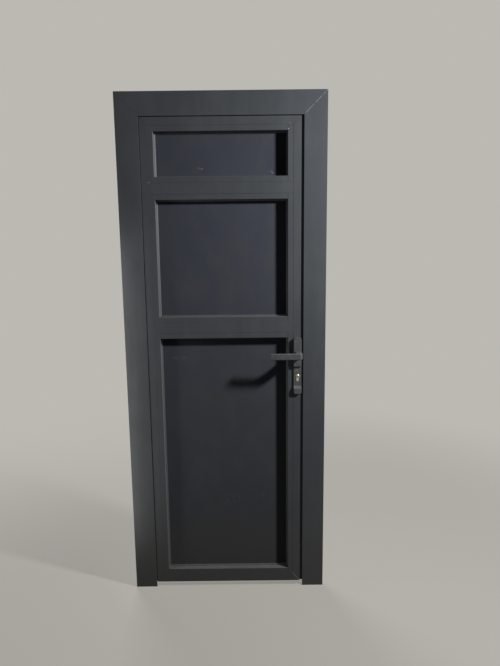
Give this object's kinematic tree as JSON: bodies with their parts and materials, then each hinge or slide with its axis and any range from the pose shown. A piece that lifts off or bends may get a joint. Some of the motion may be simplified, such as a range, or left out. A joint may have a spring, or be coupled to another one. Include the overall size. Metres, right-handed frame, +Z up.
{
  "type": "aluminium panel door with frame",
  "caption": "Hinged aluminium door leaf with recessed opaque panels, lever handles and a cylinder lock, hung in its own frame without a sill.",
  "frame": {"origin": "under the middle of the frame, at the level of the jamb feet, in the middle plane of the leaf", "axes": "+Z up, +X to the lock side as seen from the front face, +Y to the side that the leaf opens to"},
  "size_m": [0.834, 0.176, 2.1],
  "materials": {
    "frame_paint": "fine matt powder coat",
    "leaf_paint": "fine matt powder coat",
    "bead_paint": "fine matt powder coat",
    "panel_paint": "smooth satin coat",
    "handle_paint": "satin powder coat",
    "hinge_paint": "satin powder coat",
    "cylinder_metal": "satin nickel over brass",
    "lock_steel": "zinc plated",
    "raw_aluminium": "mill finish",
    "rubber": "matt",
    "nylon": "matt"
  },
  "bodies": {
    "frame": {"left_jamb": "frame_paint", "right_jamb": "frame_paint", "frame_head": "frame_paint", "frame_corner_cleats": "raw_aluminium", "frame_seal": "rubber", "lower_hinge_frame_plate": "hinge_paint", "middle_hinge_frame_plate": "hinge_paint", "upper_hinge_frame_plate": "hinge_paint", "hinge_pins": "lock_steel", "hinge_frame_screws": "lock_steel", "strike_plate": "lock_steel", "strike_screws": "lock_steel"},
    "leaf": {"back_handle_plate": "handle_paint", "bottom_back_gasket": "rubber", "bottom_cross_beads": "bead_paint", "bottom_front_gasket": "rubber", "bottom_panel": "panel_paint", "bottom_rail": "leaf_paint", "bottom_side_beads": "bead_paint", "cylinder_body": "cylinder_metal", "cylinder_screw": "lock_steel", "faceplate_screws": "lock_steel", "front_handle_plate": "handle_paint", "hinge_bushes": "nylon", "hinge_leaf_screws": "lock_steel", "leaf_corner_cleats": "raw_aluminium", "leaf_seal": "rubber", "left_stile": "leaf_paint", "lock_case": "lock_steel", "lock_faceplate": "lock_steel", "lower_hinge_leaf_plate": "hinge_paint", "lower_rail": "leaf_paint", "middle_back_gasket": "rubber", "middle_cross_beads": "bead_paint", "middle_front_gasket": "rubber", "middle_hinge_leaf_plate": "hinge_paint", "middle_panel": "panel_paint", "middle_side_beads": "bead_paint", "panel_packers": "nylon", "plate_screws": "lock_steel", "rail_connectors": "raw_aluminium", "right_stile": "leaf_paint", "top_back_gasket": "rubber", "top_cross_beads": "bead_paint", "top_front_gasket": "rubber", "top_panel": "panel_paint", "top_rail": "leaf_paint", "top_side_beads": "bead_paint", "upper_hinge_leaf_plate": "hinge_paint", "upper_rail": "leaf_paint"},
    "lever_set": {"front_lever": "handle_paint", "back_lever": "handle_paint", "spindle": "lock_steel", "follower": "lock_steel"},
    "latch": {"latch_bolt": "lock_steel"},
    "bolt": {"dead_bolt": "lock_steel"},
    "key_plug": {"front_plug": "cylinder_metal", "back_plug": "cylinder_metal", "cam": "lock_steel"}
  },
  "joints": [
    {"name": "door_swing", "type": "hinge", "parent": "frame", "child": "leaf", "pos_m": [-0.373, 0.026, 1.05], "axis": [0, 0, 1], "range_deg": [0, 95]},
    {"name": "lever_turn", "type": "hinge", "parent": "leaf", "child": "lever_set", "pos_m": [0.3015, 0, 1.057], "axis": [0, -1, 0], "range_deg": [0, 40], "stiffness_Nm_per_rad": 1, "springref_deg": -40.11},
    {"name": "latch_slide", "type": "slide", "parent": "leaf", "child": "latch", "axis": [-1, 0, 0], "range_m": [0, 0.0111]},
    {"name": "key_turn", "type": "hinge", "parent": "leaf", "child": "key_plug", "pos_m": [0.3015, 0, 0.965], "axis": [0, 1, 0], "range_deg": [0, 360]},
    {"name": "bolt_slide", "type": "slide", "parent": "leaf", "child": "bolt", "axis": [1, 0, 0], "range_m": [0, 0.02]}
  ],
  "couplings": [
    {"joint": "latch_slide", "follows": "lever_turn", "m_per_rad": 0.015756},
    {"joint": "key_turn", "follows": "bolt_slide", "rad_per_m": 314.15}
  ]
}
